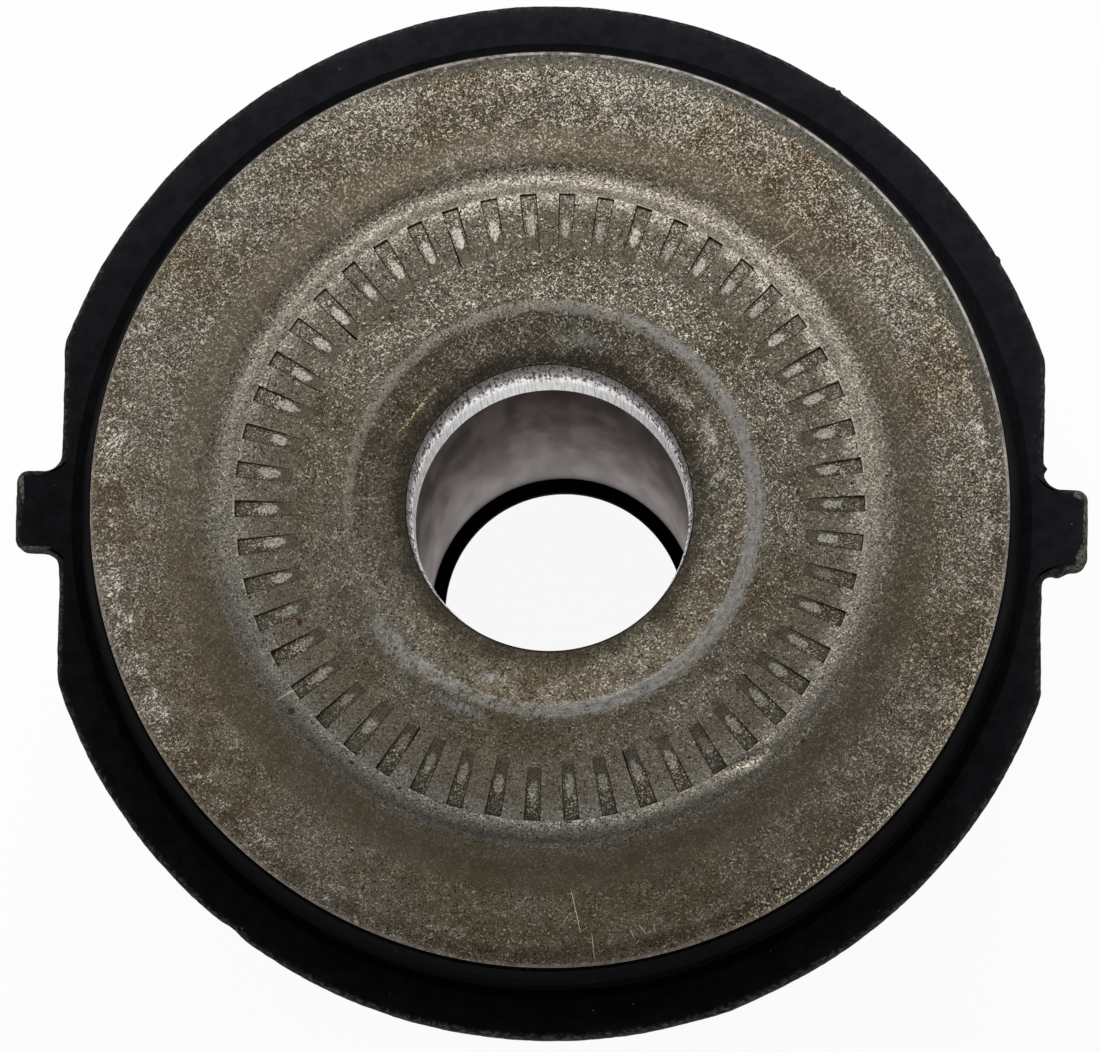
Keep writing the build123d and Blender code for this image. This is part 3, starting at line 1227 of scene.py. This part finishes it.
    def _profile(self) -> list[Station]:
        """Draw the section, open where the ring of marks goes in.

        Returns:
            Its corners, from the tile's outer edge round the sleeve to the tile's inner edge.
        """
        rim_top = self.face - self.roll_drop - self.corner_bevel
        foot = self.flange - (rim_top - self.flange_under) * tan(radians(self.rim_draft))
        roll_start = self.flange - self.corner_bevel - self.roll_width
        roll_radius = (self.roll_width**2 + self.roll_drop**2) / (2 * self.roll_drop)
        sweep = degrees(atan2(self.roll_width, roll_radius - self.roll_drop))
        rim = arc((roll_start, self.face - roll_radius), (roll_radius, roll_radius), 90, 90 - sweep, 8)
        round_centre = (self.torn_hole + self.mouth_round, self.face - self.roll_in - self.mouth_round)
        mouth = arc(round_centre, (self.mouth_round, self.mouth_round), 180, 90, 5)
        inner_track = self.land_inner + self.ring_width
        slope = [(self.land_outer + share * self.land_slope, self.land - drop) for share, drop in self.SLOPE]
        return [
            Station(self.tile_outer, self.land),
            Station(self.LAND_RING, self.land),
            *(Station(*corner) for corner in slope),
            *(Station(ring, self.face) for ring in self.FACE_RINGS),
            *rim,
            Station(self.flange, rim_top, 0.06),
            Station(foot, self.flange_under, 0.25),
            Station(self.outside + self.root_slope, self.flange_under, 0.4),
            Station(self.outside, self.flange_under - self.root_slope, 0.4),
            Station(self.outside, self.SHANK_RING),
            Station(self.outside, self.end + self.end_chamfer, 0.08),
            Station(self.outside - self.end_chamfer, self.end, 0.08),
            Station(self.bore + self.end_chamfer, self.end, 0.08),
            Station(self.bore, self.end + self.end_chamfer, 0.08),
            *(Station(self.bore, ring) for ring in self.BORE_RINGS),
            Station(self.bore, self.web_end),
            Station(self.bolt_hole, self.web_end, 0.06),
            Station(self.bolt_hole, self.web_end + self.sheared, 0.3),
            *mouth,
            Station(self.torn_hole + 0.7, self.face - 0.13),
            Station(self.torn_hole + 1.3, self.face + 0.05),
            Station(self.land_inner, self.land - 0.03, 0.15),
            Station(self.land_inner + 0.25, self.land),
            Station(inner_track, self.land, 0.15),
            Station(inner_track + 0.8, self.track, 0.15),
            Station(self.tile_inner, self.track),
        ]

    def _mark_ring(self) -> bpy.types.Object:
        """Model one mark on a flat tile, repeat it and bend the row into a ring.

        Returns:
            The ring, open in edit mode.
        """
        half = self.mark_width / 2
        columns = [0.0, half * 0.5, *(half + step for step in self.WALL_COLUMNS)]
        columns += [self.pitch * 0.34, self.pitch / 2]
        columns = [-column for column in reversed(columns[1:])] + columns
        rows = [self.tile_inner, self.TRACK_ROW, self.mark_inner - 0.05, self.mark_inner]
        rows += self.FLOOR_ROWS
        rows += [self.mark_outer - 0.015, self.mark_outer + 0.005, self.mark_outer + 0.05]
        rows += [self.land_outer - self.ring_width, self.RING_ROW, self.tile_outer]
        tile = self._tile(columns, rows)
        self._write_mark_attributes(tile)

        row = tile.modifiers.new("row", "ARRAY")
        row.count = self.marks
        row.use_relative_offset = False
        row.use_constant_offset = True
        row.constant_offset_displace = (self.pitch * MM, 0, 0)
        row.use_merge_vertices = True
        row.merge_threshold = MERGE
        bpy.ops.object.modifier_apply(modifier="row")
        self._vary_marks(tile)

        Bench.edit(tile)
        bpy.ops.mesh.select_all(action="SELECT")
        Bench.shift(x=-self.pitch * (self.marks - 1) / 2)
        bpy.ops.object.mode_set(mode="OBJECT")
        bend = tile.modifiers.new("ring", "SIMPLE_DEFORM")
        bend.deform_method = "BEND"
        bend.deform_axis = "Z"
        bend.angle = FULL_TURN
        bpy.ops.object.modifier_apply(modifier="ring")
        Bench.edit(tile)
        bpy.ops.mesh.select_all(action="SELECT")
        Bench.shift(y=-self.tile_middle)
        Bench.weld()
        return tile

    def _tile(self, columns: list[float], rows: list[float]) -> bpy.types.Object:
        """Shape a grid into a flat tile with one mark.

        The grid's lines start a millimetre apart and far from where they go, so that a
        line that has been placed is never taken for one that has not.

        Args:
            columns: places across the mark.
            rows: radii along it.

        Returns:
            The tile, whose y runs towards the axis from the middle radius.
        """
        Bench.clear()
        across, along = len(columns) - 1, len(rows) - 1
        bpy.ops.mesh.primitive_grid_add(x_subdivisions=across, y_subdivisions=along, size=1.0)
        tile = bpy.context.object
        tile.name = tile.data.name = "mark_ring"
        tile.scale = (across * MM, along * MM, 1.0)
        bpy.ops.object.transform_apply(location=False, rotation=False, scale=True)
        while tile.data.uv_layers:
            tile.data.uv_layers.remove(tile.data.uv_layers[0])
        Bench.edit(tile)
        bpy.ops.mesh.select_all(action="SELECT")
        Bench.shift(x=ASIDE + across / 2, y=ASIDE + along / 2)

        # Columns follow the mark inside the tile, and stay even where it joins the turned shape
        first, last = ASIDE + 0.5, ASIDE + along - 0.5
        for index, column in enumerate(columns):
            even = self.pitch * (index / across - 0.5)
            line = ASIDE + index
            Bench.pick(tile, lambda p, c=line: abs(p.x - c) < NEAR and first < p.y < last)
            Bench.shift(x=column - line)
            Bench.pick(tile, lambda p, c=line: abs(p.x - c) < NEAR)
            Bench.shift(x=even - line)
        for index, reach in enumerate(reversed(rows)):
            line = ASIDE + index
            Bench.pick(tile, lambda p, c=line: abs(p.y - c) < NEAR)
            rise = min(1.0, max(0.0, (reach - self.mark_outer - 0.05) / 0.4))
            Bench.shift(y=self.tile_middle - reach - line, z=self.track + self.track_depth * rise)
        self._sink_mark(tile)
        return tile

    def _on_floor(self, place: Vector) -> bool:
        """Whether a place on the flat tile is on the mark's floor.

        Args:
            place: the place in mm.

        Returns:
            True where it is.
        """
        reach = self.tile_middle - place.y
        return abs(place.x) < self.mark_width / 2 and self.mark_inner - 0.01 < reach < self.mark_outer - 0.01

    def _sink_mark(self, tile: bpy.types.Object) -> None:
        """Press the mark's floor down, deeper towards its outer end.

        Args:
            tile: the flat tile, open in edit mode, which is left in object mode.
        """
        shape = bmesh.from_edit_mesh(tile.data)
        radii = sorted({round(self.tile_middle - v.co.y / MM, 4) for v in shape.verts})
        for reach in radii:
            share = (reach - self.mark_inner) / self.mark_length
            line = self.tile_middle - reach
            count = Bench.pick(tile, lambda p, y=line: self._on_floor(p) and abs(p.y - y) < NEAR)
            if count:
                Bench.shift(z=-self.mark_run_out - (self.mark_depth - self.mark_run_out) * share)
        bpy.ops.object.mode_set(mode="OBJECT")

    def _write_mark_attributes(self, tile: bpy.types.Object) -> None:
        """Store where each vertex is in the mark, for the finish to follow.

        Args:
            tile: the flat tile.
        """
        half = self.mark_width / 2
        where = tile.data.attributes.new("mark_place", "FLOAT_VECTOR", "POINT")
        trim = tile.data.attributes.new("mark_trim", "FLOAT_VECTOR", "POINT")
        for vertex in tile.data.vertices:
            place = vertex.co / MM
            reach = self.tile_middle - place.y
            along = (reach - self.mark_inner) / self.mark_length
            where.data[vertex.index].vector = (place.x / half, along, float(self._on_floor(place)))
            within = abs(place.x) < half + 0.02
            beside = abs(abs(place.x) - half) < 0.02 and -0.03 < along < 1.01
            ahead = within and abs(reach - self.mark_outer) < 0.02
            wall = max(0.0, min(1.0, along * 2.5)) if beside or ahead else 0.0
            burr = within and 0.02 < reach - self.mark_outer < 0.06
            trim.data[vertex.index].vector = (wall, float(burr), 0.0)

    def _vary_marks(self, tile: bpy.types.Object) -> None:
        """Turn, lengthen, shift and deepen each mark a little, as the worn tool leaves them.

        Args:
            tile: the row of marks.
        """
        draw = Random(self.seed)
        reach = self.mark_width / 2 + 0.03
        near, far = self.tile_middle - self.mark_outer - 0.06, self.tile_middle - self.mark_inner + 0.06
        Bench.edit(tile)
        for number in range(self.marks):
            middle = number * self.pitch
            Bench.pick(tile, lambda p, m=middle: abs(p.x - m) < reach and near < p.y < far)
            pivot = (middle * MM, near * MM, self.track * MM)
            tilt = draw.gauss(0, self.STRAY_TILT)
            size = tuple(1 + draw.gauss(0, stray) for stray in self.STRAY_SIZE)
            bpy.ops.transform.rotate(value=radians(tilt), orient_axis="Z", center_override=pivot)
            bpy.ops.transform.resize(value=size, center_override=pivot)
            Bench.shift(x=draw.gauss(0, self.STRAY_ASIDE), y=max(0.0, draw.gauss(*self.STRAY_ALONG)))
        bpy.ops.object.mode_set(mode="OBJECT")

    def _set_phase(self, piece: bpy.types.Object) -> None:
        """Merge the ring of marks into the turned sleeve and turn both to the marks' phase.

        Args:
            piece: the joined sleeve.
        """
        Bench.edit(piece)
        Bench.weld()
        bpy.ops.object.mode_set(mode="OBJECT")
        piece.data.transform(Matrix.Rotation(radians(self.mark_phase), 4, "Z"))

    def _strike_gouge(self, piece: bpy.types.Object) -> None:
        """Dent the outer contact ring where something has hit it, deeper towards the middle.

        Args:
            piece: the joined sleeve.
        """
        gouge = ForgedSteel.GOUGE
        Bench.edit(piece)
        for share, depth in self.GOUGE_STEPS:
            Bench.pick(piece, lambda p, s=share: p.z > self.face and gouge.reach(p.x, p.y) < s)
            Bench.shift(z=-depth)
        bpy.ops.object.mode_set(mode="OBJECT")


@dataclass(frozen=True)
class Nib:
    """A scrap or notch on the trimmed edge: where it is, how far it stands out, how wide."""

    x: float
    y: float
    reach: float
    spread: float


@dataclass(frozen=True)
class Row:
    """A ring of the stop flange: share of the way out, inset from the edge, height, trim."""

    share: float
    inset: float
    height: float
    trim: float = 0.0


@dataclass
class RubberBody:
    """Moulded rubber: nose, cove, stop flange with flats and tabs, and collar, in mm."""

    lip: float = 6.85
    lip_top: float = 1.2
    nose: float = 13.0
    nose_height: float = 2.5
    cove_top: float = 8.4
    sleeve_bore: float = 22.0
    sleeve_outside: float = 24.0
    stop_under: float = 53.6
    stop_top: float = 56.6
    stop: float = 26.65
    flat: float = 25.2
    flat_round: float = 2.0
    tab_reach: float = 27.5
    tab_half: float = 2.1
    root_round: float = 0.9
    tip_round: float = 0.65
    groove_width: float = 0.5
    groove_depth: float = 0.5
    collar_foot: float = 24.1
    collar_top: float = 23.45
    collar_ridges: int = 12
    ridge_out: float = 0.02
    ridge_in: float = 0.01
    rim_top: float = 61.8
    rim_round: float = 0.12
    rim_contact: float = 23.215
    rim_foot: float = 22.93
    flange_under: float = 57.7
    root_slope: float = 2.5
    inner_outside: float = 11.0
    inner_chamfer: float = 0.5
    columns: int = 1200
    crease: float = 38.0

    # The trimmed edge's roughness in layers: size in mm, and features in a mm
    ROUGH = ((0.035, 0.5), (0.02, 2.2), (0.012, 6.0))
    SHRINK = 0.02
    NIBS = (
        Nib(14.05, 22.55, 0.13, 0.11),
        Nib(14.35, 22.4, 0.15, 0.10),
        Nib(22.7, 13.9, 0.12, 0.12),
        Nib(25.25, 3.1, 0.22, 0.16),
        Nib(26.0, -2.1, 0.36, 0.42),
        Nib(9.3, -24.9, 0.10, 1.3),
        Nib(-16.0, -21.3, -0.12, 0.7),
        Nib(-25.6, -3.0, 0.10, 0.5),
    )

    @property
    def groove_edge(self) -> float:
        """Radius of the groove's outer edge."""
        return self.collar_foot + self.groove_width

    def build(self) -> bpy.types.Object:
        """Turn the body, pull the stop flange out of it and dress it.

        Returns:
            The finished piece.
        """
        piece = Bench.draw_profile("rubber_body_moulded", self._profile())
        Bench.turn(piece, self.columns)
        self._pull_stop_flange(piece)
        Bench.close(piece, self.crease)
        Bench.paint(piece, BondedRubber(self.stop_top).make())
        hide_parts("rubber_body")
        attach(piece, "root")
        return piece

    def _profile(self) -> list[Station]:
        """Draw the section, open where the stop flange is pulled out.

        Returns:
            Its corners, from the groove's outer edge over the collar and inside round to the
            outer sleeve.
        """
        flare = (self.collar_foot - self.collar_top) / (self.rim_top - self.stop_top)
        foot = Station(
            self.collar_foot - self.groove_depth * flare,
            self.stop_top + self.groove_depth,
            0.08,
        )
        top = Station(self.collar_top, self.rim_top - self.rim_round)
        ridges = []
        for index in range(1, self.collar_ridges + 1):
            share = index / (self.collar_ridges + 1)
            swell = self.ridge_out if index % 2 else -self.ridge_in
            radius = foot.radius + (top.radius - foot.radius) * share + swell
            ridges.append(Station(radius, foot.height + (top.height - foot.height) * share))
        cove = arc(
            (self.sleeve_bore, self.nose_height),
            (self.sleeve_bore - self.nose, self.cove_top - self.nose_height),
            180,
            90,
            14,
        )
        return [
            Station(self.groove_edge, self.stop_top),
            Station(self.collar_foot, self.stop_top - self.groove_depth, 0.08),
            foot,
            *ridges,
            top,
            Station(self.collar_top - 0.05, self.rim_top),
            Station(self.rim_contact, self.rim_top),
            Station(self.rim_foot, self.flange_under),
            Station(self.inner_outside + self.root_slope, self.flange_under),
            Station(self.inner_outside, self.flange_under - self.root_slope),
            Station(self.inner_outside, self.lip_top + self.inner_chamfer),
            Station(self.inner_outside - self.inner_chamfer, self.lip_top),
            Station(self.lip, self.lip_top, 0.15),
            Station(self.lip, 0.0, 0.2),
            Station(self.nose, 0.0, 0.35),
            *cove,
            Station(self.sleeve_bore, self.stop_under),
            Station(self.sleeve_outside, self.stop_under),
        ]

    def _outline(self) -> list[Vector]:
        """Lay out the stop flange's edge.

        Returns:
            Points evenly spaced along it, from the middle of the +X tab.
        """
        flat_centre_y = sqrt((self.stop - self.flat_round) ** 2 - (self.flat - self.flat_round) ** 2)
        corner = degrees(atan2(flat_centre_y, self.flat - self.flat_round))
        tip = (self.tab_reach - self.tip_round, self.tab_half - self.tip_round)
        root = (self.flat + self.root_round, self.tab_half + self.root_round)
        pieces = [
            [(self.tab_reach, 0.0), (self.tab_reach, self.tab_half - self.tip_round)],
            self._curve(tip, self.tip_round, 0, 90),
            self._curve(root, self.root_round, 270, 180),
            self._curve((self.flat - self.flat_round, flat_centre_y), self.flat_round, 0, corner),
            self._curve((0.0, 0.0), self.stop, corner, 90),
        ]
        path = [Vector(point) for piece in pieces for point in piece]
        quarter = self._spaced(path, self.columns // 4)
        ahead, back = quarter[:-1], quarter[:0:-1]
        points = list(ahead)
        points += [Vector((-p.x, p.y)) for p in back]
        points += [Vector((-p.x, -p.y)) for p in ahead]
        points += [Vector((p.x, -p.y)) for p in back]
        return points

    @staticmethod
    def _spaced(path: list[Vector], spans: int) -> list[Vector]:
        """Points at even distances along a path.

        Args:
            path: its corners.
            spans: how many spans it is cut into.

        Returns:
            The points, both ends included.
        """
        lengths = [0.0]
        for here, there in pairwise(path):
            lengths.append(lengths[-1] + (there - here).length)
        points = []
        index = 0
        for step in range(spans + 1):
            want = lengths[-1] * step / spans
            while index < len(path) - 2 and lengths[index + 1] < want:
                index += 1
            gap = lengths[index + 1] - lengths[index]
            share = (want - lengths[index]) / gap if gap else 0.0
            points.append(path[index].lerp(path[index + 1], share))
        return points

    @staticmethod
    def _curve(centre: tuple[float, float], size: float, start: float, end: float) -> list[tuple]:
        """Points along a round of the outline.

        Args:
            centre: its centre in mm.
            size: its radius in mm.
            start: its first angle in degrees.
            end: its last angle in degrees.

        Returns:
            The points, both ends included.
        """
        spans = max(6, int(abs(end - start) / 1.5))
        angles = [radians(start + (end - start) * i / spans) for i in range(spans + 1)]
        return [(centre[0] + size * cos(a), centre[1] + size * sin(a)) for a in angles]

    def _rows(self) -> list[Row]:
        """Lay out the stop flange's rings.

        Returns:
            The rings, from the groove over the edge and back under to the outer sleeve.
        """
        top, under = self.stop_top, self.stop_under
        return [
            Row(0.25, 0.4, top),
            Row(0.5, 0.4, top),
            Row(0.78, 0.4, top, 0.05),
            Row(1.0, 0.42, top - 0.02, 0.35),
            Row(1.0, 0.2, top - 0.12, 0.7),
            Row(1.0, 0.05, top - 0.32, 1.0),
            Row(1.0, 0.0, top - 0.7, 1.0),
            Row(1.0, 0.03, top - 1.2, 0.9),
            Row(1.0, 0.05, top - 1.8, 0.8),
            Row(1.0, 0.02, under + 0.6, 0.8),
            Row(1.0, 0.08, under + 0.25, 0.7),
            Row(1.0, 0.25, under + 0.06, 0.4),
            Row(1.0, 0.45, under, 0.1),
            Row(0.6, 0.45, under),
            Row(0.3, 0.45, under),
            Row(0.0, 0.0, under),
        ]

    def _pull_stop_flange(self, piece: bpy.types.Object) -> None:
        """Extrude the open edge ring by ring along the outline, with its trimmed roughness.

        Args:
            piece: the turned body, open in edit mode.
        """
        outline = self._outline()
        normals = []
        for index in range(self.columns):
            run = outline[(index + 1) % self.columns] - outline[index - 1]
            normals.append(Vector((run.y, -run.x)).normalized())
        step = FULL_TURN / self.columns
        shape = bmesh.from_edit_mesh(piece.data)
        column = shape.verts.layers.int.new("column")
        shape.verts.layers.float_vector.new("trim")
        for vertex in shape.verts:
            vertex[column] = round(atan2(vertex.co.y, vertex.co.x) / step) % self.columns
        Bench.pick(
            piece,
            lambda p: abs(hypot(p.x, p.y) - self.groove_edge) < NEAR and abs(p.z - self.stop_top) < NEAR,
        )
        for row in self._rows():
            bpy.ops.mesh.extrude_region_move()
            shape = bmesh.from_edit_mesh(piece.data)
            column = shape.verts.layers.int["column"]
            trim = shape.verts.layers.float_vector["trim"]
            root = self.groove_edge if row.height > self.stop_under + 0.5 else self.sleeve_outside
            for vertex in shape.verts:
                if vertex.select:
                    index = vertex[column]
                    start = Vector((root * cos(index * step), root * sin(index * step)))
                    edge = outline[index] - normals[index] * (row.inset - self._ragged(outline[index], row))
                    spot = start.lerp(edge, row.share)
                    vertex.co = Vector((spot.x, spot.y, row.height)) * MM
                    vertex[trim] = (row.trim, 0.0, 0.0)
            bmesh.update_edit_mesh(piece.data)
        shape = bmesh.from_edit_mesh(piece.data)
        shape.verts.layers.int.remove(shape.verts.layers.int["column"])
        bmesh.update_edit_mesh(piece.data)

    def _ragged(self, point: Vector, row: Row) -> float:
        """How far the trimmed edge stands out of its outline at a point.

        Args:
            point: a place on the outline.
            row: the ring that is being laid.

        Returns:
            The distance in mm, with scraps and notches in it.
        """
        if not row.trim:
            return 0.0
        here = Vector((point.x, point.y, row.height))
        rough = sum(size * noise.noise(here * scale) for size, scale in self.ROUGH) - self.SHRINK
        for nib in self.NIBS:
            away = hypot(point.x - nib.x, point.y - nib.y) / nib.spread
            rough += nib.reach * exp(-away * away)
        return rough * row.trim


@dataclass
class OuterSleeve:
    """Steel tube with a lead-in at its lower end, in mm."""

    outside: float = 24.0
    bore: float = 22.0
    lower: float = 7.0
    upper: float = 53.6
    lead_in: float = 2.0
    lead_depth: float = 0.7
    edge: float = 0.3
    ring_gap: float = 15.0
    bore_ring: float = 27.0
    columns: int = 480
    crease: float = 30.0

    def build(self) -> bpy.types.Object:
        """Turn the tube and dress it.

        Returns:
            The finished piece.
        """
        profile = [
            Station(self.bore, self.lower, 0.12),
            Station(self.outside - self.lead_depth, self.lower, 0.12),
            Station(self.outside, self.lower + self.lead_in, 0.2),
            Station(self.outside, self.lower + self.ring_gap),
            Station(self.outside, self.upper - self.ring_gap),
            Station(self.outside, self.upper - self.edge, 0.1),
            Station(self.outside - self.edge, self.upper, 0.1),
            Station(self.bore, self.upper),
            Station(self.bore, self.bore_ring),
            Station(self.bore, self.lower),
        ]
        piece = Bench.draw_profile("outer_sleeve_drawn", profile)
        Bench.turn(piece, self.columns)
        Bench.close(piece, self.crease)
        Bench.paint(piece, DrawnSteel(self.lower, self.upper).make())
        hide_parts("outer_sleeve")
        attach(piece, "root")
        return piece


# ------------------------------------------------------------------------------ studio


@dataclass(frozen=True)
class Lamp:
    """A soft panel: its name, place and size in metres, and power in watts."""

    name: str
    place: tuple[float, float, float]
    size: float
    power: float


@dataclass
class Studio:
    """Pale floor, soft panels and the camera: metres for the room, mm for the camera's place."""

    floor_size: float = 4.0
    floor_height: float = -0.00005
    floor_paint: tuple[float, float, float, float] = (0.86, 0.86, 0.86, 1.0)
    floor_glow: float = 1.055
    glow_share: float = 0.88
    ceiling_size: float = 1.8
    ceiling_height: float = 1.3
    fill: float = 0.55
    lamp_aim: tuple[float, float, float] = (0.0, 0.0, 0.055)
    camera_place: tuple[float, float, float] = (7.18, -43.91, 515.22)
    camera_turn: float = 1.06
    camera_tilt: float = 5.442
    camera_roll: float = 0.800
    lens: float = 294.5
    sensor: float = 36.0
    sight: tuple[float, float] = (0.01, 20.0)

    LAMPS = (
        Lamp("key_panel", (-0.01, 0.13, 0.35), 0.12, 0.26),
        Lamp("side_panel", (-0.30, 0.15, 0.45), 0.3, 0.2),
    )

    def build(self) -> None:
        """Set up the floor, the world, the lamps and the camera."""
        self._floor()
        self._ceiling()
        self._world()
        for lamp in self.LAMPS:
            self._lamp(lamp)
        self._camera()
        bpy.context.scene.view_settings.view_transform = "Standard"

    @staticmethod
    def _seen(g: Graph) -> Value:
        """Tell what is looked at from what only gives light.

        Args:
            g: the tree that asks.

        Returns:
            1 for rays from the camera and for those that gloss and glass send on.
        """
        path = g.node("ShaderNodeLightPath", output="Is Camera Ray")
        outputs = path.socket.node.outputs
        return path.most(Value(g, outputs["Is Glossy Ray"])).most(Value(g, outputs["Is Transmission Ray"]))

    @staticmethod
    def _card(name: str, size: float, height: float, look: bpy.types.Material) -> None:
        """Lay a level card on the stage.

        Args:
            name: its name.
            size: the length of its sides in metres.
            height: its height in metres.
            look: its material.
        """
        Bench.clear()
        bpy.ops.mesh.primitive_plane_add(size=size, location=(0, 0, height))
        card = bpy.context.object
        card.name = name
        card.data.materials.append(look)

    def _floor(self) -> None:
        """Lay a pale floor that shows white but keeps the shadow."""
        g = Graph("floor_white")
        paint = g.node("ShaderNodeBsdfDiffuse", inputs={"Color": self.floor_paint})
        glow = g.node("ShaderNodeEmission", inputs={"Color": WHITE, "Strength": self.floor_glow})
        seen = self._seen(g) * self.glow_share
        mixed = g.node("ShaderNodeMixShader", inputs={0: seen, 1: paint, 2: glow})
        g.node("ShaderNodeOutputMaterial", inputs={"Surface": mixed})
        self._card("floor", self.floor_size, self.floor_height, g.material)

    def _ceiling(self) -> None:
        """Hang a grey card overhead, which keeps the fill from above low."""
        g = Graph("card_grey")
        paint = g.node("ShaderNodeBsdfDiffuse", inputs={"Color": tint(120, 120, 120)})
        g.node("ShaderNodeOutputMaterial", inputs={"Surface": paint})
        self._card("ceiling_card", self.ceiling_size, self.ceiling_height, g.material)

    def _world(self) -> None:
        """Set a white surround for the eye and for gloss, and a softer one for fill."""
        world = bpy.data.worlds.new("surround")
        bpy.context.scene.world = world
        g = Graph("surround", world)
        soft = g.node("ShaderNodeBackground", inputs={"Color": WHITE, "Strength": self.fill})
        white = g.node("ShaderNodeBackground", inputs={"Color": WHITE, "Strength": 1.0})
        mixed = g.node("ShaderNodeMixShader", inputs={0: self._seen(g), 1: soft, 2: white})
        g.node("ShaderNodeOutputWorld", inputs={"Surface": mixed})

    def _lamp(self, lamp: Lamp) -> None:
        """Hang one soft panel.

        Args:
            lamp: the panel.
        """
        Bench.clear()
        bpy.ops.object.light_add(type="AREA", location=lamp.place)
        panel = bpy.context.object
        panel.name = lamp.name
        panel.data.size = lamp.size
        panel.data.energy = lamp.power
        panel.visible_camera = False
        look = Vector(self.lamp_aim) - Vector(lamp.place)
        panel.rotation_euler = look.to_track_quat("-Z", "Y").to_euler()

    def _camera(self) -> None:
        """Place the camera above the flange, a little below the middle of the view."""
        data = bpy.data.cameras.new("camera")
        data.sensor_fit = "HORIZONTAL"
        data.sensor_width = self.sensor
        data.lens = self.lens
        data.clip_start, data.clip_end = self.sight
        camera = bpy.data.objects.new("camera", data)
        bpy.context.scene.collection.objects.link(camera)
        turn = Matrix.Rotation(radians(self.camera_turn), 4, "Z")
        tilt = Matrix.Rotation(radians(self.camera_tilt), 4, "X")
        roll = Matrix.Rotation(radians(self.camera_roll), 4, "Y")
        camera.matrix_world = Matrix.Translation(Vector(self.camera_place) * MM) @ turn @ tilt @ roll
        bpy.context.scene.camera = camera


def main() -> None:
    """Build every piece on the frame."""
    logging.basicConfig(level=logging.INFO, format="%(name)s: %(message)s")
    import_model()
    for maker in (InnerSleeve(), RubberBody(), OuterSleeve()):
        piece = maker.build()
        LOG.info("%s has %d faces", piece.name, len(piece.data.polygons))
    Studio().build()


if __name__ == "__main__":
    main()
